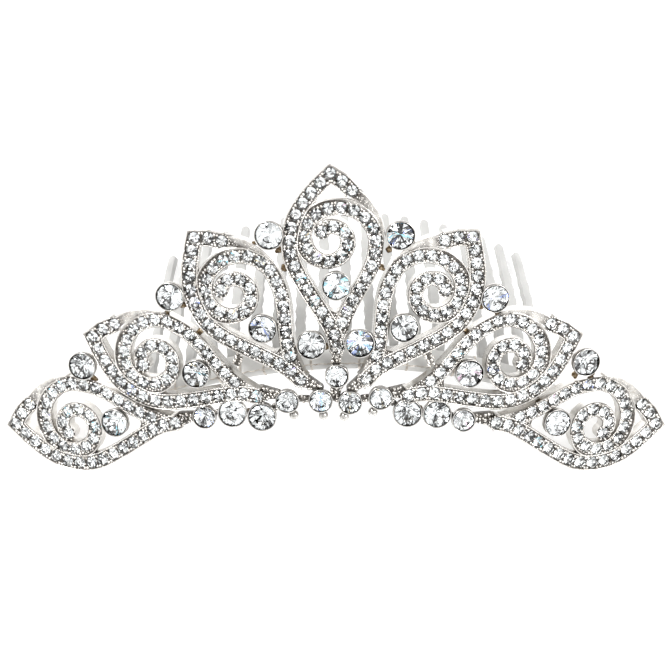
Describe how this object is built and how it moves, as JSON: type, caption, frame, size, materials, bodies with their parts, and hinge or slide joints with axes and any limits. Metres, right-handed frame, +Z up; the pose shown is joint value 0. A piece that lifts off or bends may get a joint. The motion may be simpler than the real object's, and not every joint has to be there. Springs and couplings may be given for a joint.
{
  "type": "bridal tiara",
  "caption": "Bridal tiara with an arched row of pointed leaf-and-scroll petals set with clear crystals, larger round crystals between them, and an arched comb behind to hold it in the hair.",
  "frame": {"origin": "middle of the footprint on the surface that the tiara rests on", "axes": "+Z up, +X along the tiara's width to the viewer's right, +Y backwards along the comb's teeth"},
  "size_m": [0.1566, 0.0632, 0.0572],
  "materials": {
    "silver_casting": "bright silver plate, darkened between the stones",
    "silver_cup": "bright silver plate",
    "small_crystal": "clear faceted crystal with foil back",
    "large_crystal": "clear faceted crystal with foil back and faint rainbow coating",
    "solder": "dull tarnished solder",
    "comb": "pale satin",
    "wire": "fine drawn wire"
  },
  "bodies": {
    "root": {"petal_frame_centre": "silver_casting", "petal_frame_left_inner": "silver_casting", "petal_frame_left_middle": "silver_casting", "petal_frame_left_outer": "silver_casting", "petal_frame_right_inner": "silver_casting", "petal_frame_right_middle": "silver_casting", "petal_frame_right_outer": "silver_casting", "pave_centre": "small_crystal", "pave_left_inner": "small_crystal", "pave_left_middle": "small_crystal", "pave_left_outer": "small_crystal", "pave_right_inner": "small_crystal", "pave_right_middle": "small_crystal", "pave_right_outer": "small_crystal", "petal_chaton_cups": "silver_cup", "petal_chatons": "large_crystal", "edge_chaton_cups": "silver_cup", "edge_chatons": "large_crystal", "gap_chaton_cups": "silver_cup", "gap_chatons": "large_crystal", "base_cups_large": "silver_cup", "base_chatons_large": "large_crystal", "base_cups_small": "silver_cup", "base_chatons_small": "large_crystal", "drop_beads": "silver_cup", "petal_roots": "silver_casting", "bridge_struts": "silver_casting", "solder_joints": "solder", "comb_spine": "comb", "comb_teeth": "comb", "binding_wire": "wire"}
  },
  "joints": []
}
